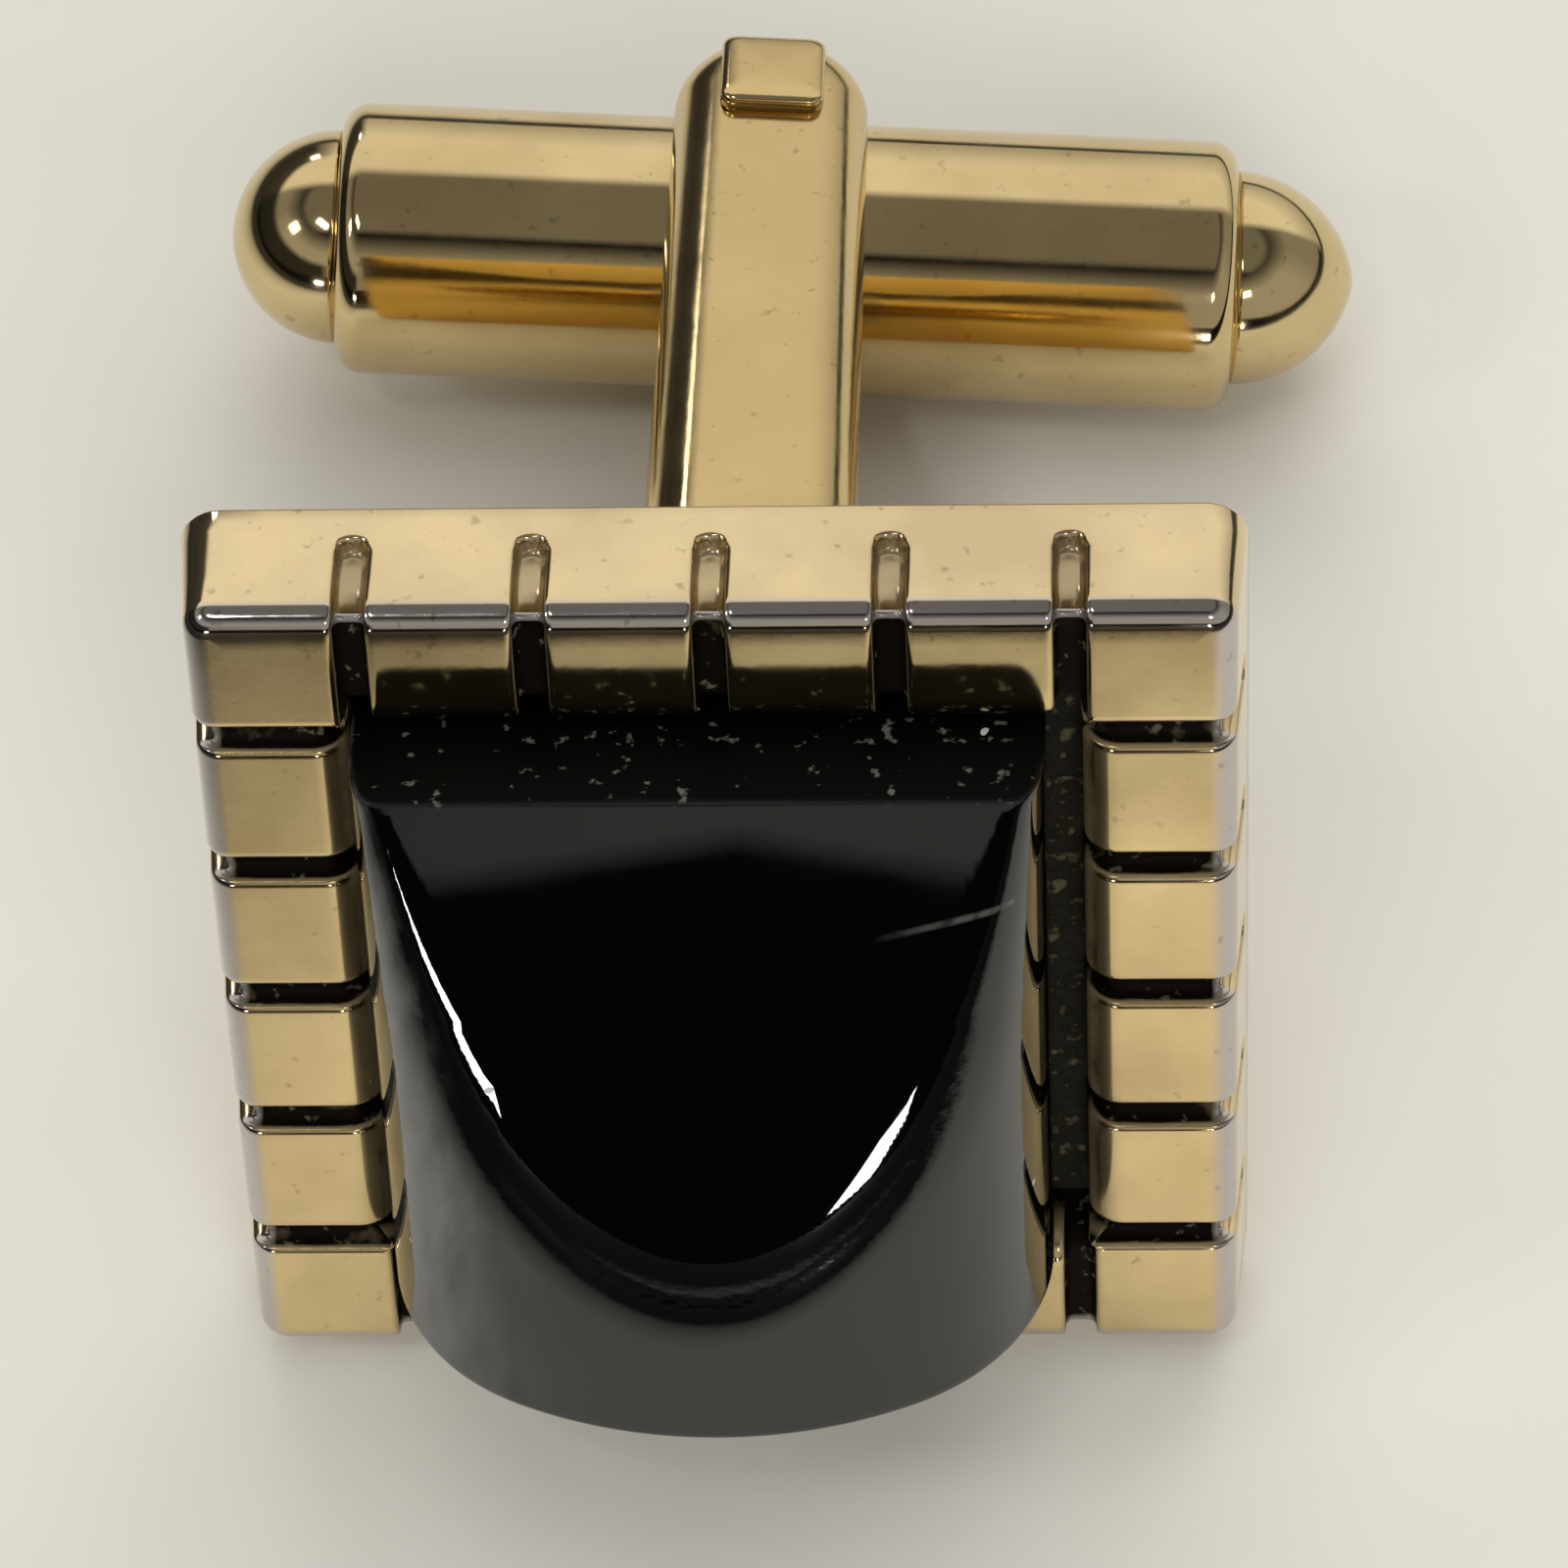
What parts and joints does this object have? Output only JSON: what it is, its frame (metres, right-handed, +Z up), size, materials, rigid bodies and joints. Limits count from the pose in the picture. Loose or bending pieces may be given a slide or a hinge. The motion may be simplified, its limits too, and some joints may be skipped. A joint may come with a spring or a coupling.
{
  "type": "cufflink",
  "caption": "Square cufflink with a grooved gold frame, a black half-round stone with one slanted facet, and a swivel toggle on a forked post",
  "frame": {"origin": "middle of the frame's rear bottom edge, on the surface that the cufflink stands on", "axes": "+X to the right seen from the stone's side, +Y from the stone back to the toggle, +Z up from the surface it stands on"},
  "size_m": [0.019, 0.0254, 0.017],
  "materials": {
    "satin_gold": "worn satin gold plate on brass, tarnished dark in the grooves",
    "polished_gold": "polished gold plate on brass with fine wear",
    "black_stone": "polished opaque black stone",
    "cement": "dull set cement",
    "spring_steel": "plain spring steel"
  },
  "bodies": {
    "root": {"bezel_frame": "satin_gold", "stone": "black_stone", "cement_bed": "cement", "post_foot": "polished_gold", "upper_arm": "polished_gold", "lower_arm": "polished_gold", "pivot_pin": "polished_gold"},
    "toggle": {"toggle_barrel": "polished_gold", "left_end_cap": "polished_gold", "right_end_cap": "polished_gold", "detent_spring": "spring_steel"}
  },
  "joints": [
    {"name": "toggle_swivel", "type": "hinge", "parent": "root", "child": "toggle", "pos_m": [0, 0.01744, 0.00278], "axis": [0.0698, 0.306, 0.9495], "range_deg": [-90, 90]}
  ]
}
